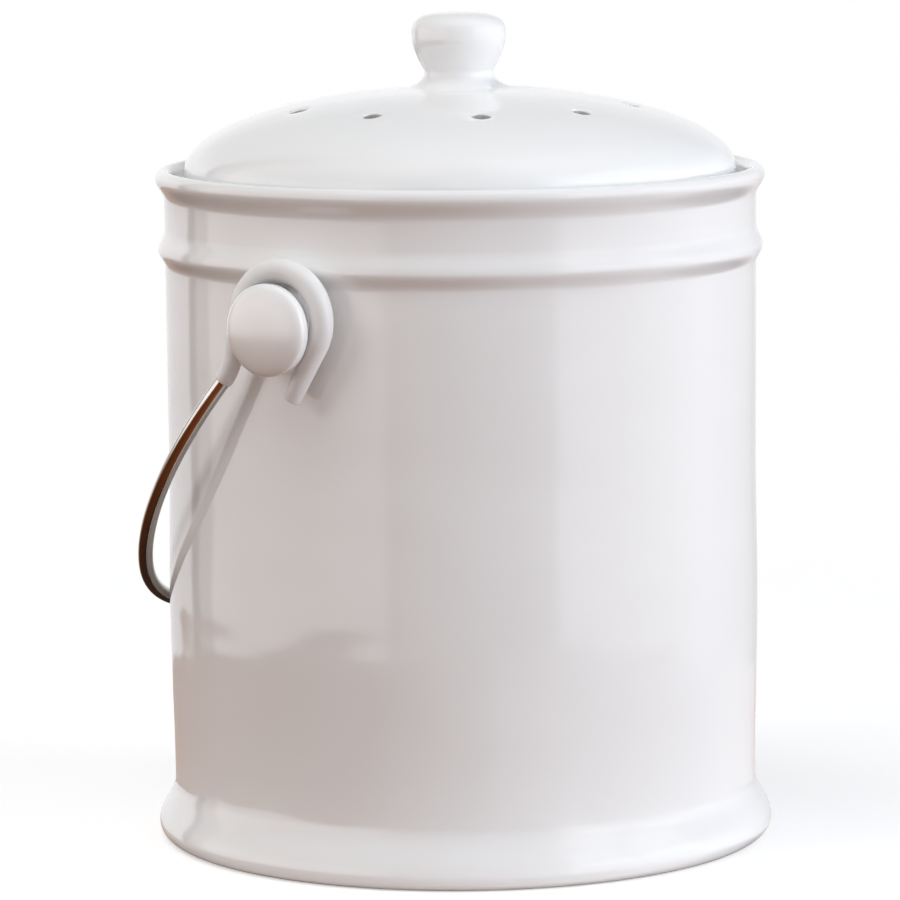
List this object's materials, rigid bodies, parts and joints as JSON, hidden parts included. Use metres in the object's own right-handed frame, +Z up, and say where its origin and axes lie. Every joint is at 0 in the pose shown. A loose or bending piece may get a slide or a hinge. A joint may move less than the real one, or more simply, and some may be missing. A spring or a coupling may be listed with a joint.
{
  "type": "compost caddy",
  "caption": "White glazed countertop compost crock with a vented lift-off domed lid, a charcoal disc under the lid and a steel bail handle hung on side lugs.",
  "frame": {"origin": "centre of the foot ring, on the table the crock stands on", "axes": "+Z up the crock's axis; the two lugs lie on X; at rest the bail hangs on the +Y side"},
  "size_m": [0.215, 0.1913, 0.2546],
  "materials": {
    "glaze_white": "glossy clear-white glaze",
    "button_white": "satin white glaze",
    "carbon_felt": "matte black carbon felt",
    "steel_rod": "polished stainless steel",
    "ear_sleeve": "satin moulded white plastic"
  },
  "bodies": {
    "crock": {"crock_body": "glaze_white", "lug_left": "button_white", "lug_right": "button_white"},
    "lid": {"lid": "glaze_white", "lid_knob": "glaze_white"},
    "filter": {"charcoal_filter": "carbon_felt"},
    "bail": {"bail_rod": "steel_rod", "ear_left": "ear_sleeve", "ear_right": "ear_sleeve"}
  },
  "joints": [
    {"name": "lid_lift", "type": "slide", "parent": "crock", "child": "lid", "axis": [0, 0, 1], "range_m": [0, 0.08]},
    {"name": "filter_drop", "type": "slide", "parent": "lid", "child": "filter", "axis": [0, 0, -1], "range_m": [0, 0.03]},
    {"name": "bail_swing", "type": "hinge", "parent": "crock", "child": "bail", "pos_m": [0, 0, 0.1664], "axis": [1, 0, 0], "range_deg": [0, 274.1]}
  ]
}
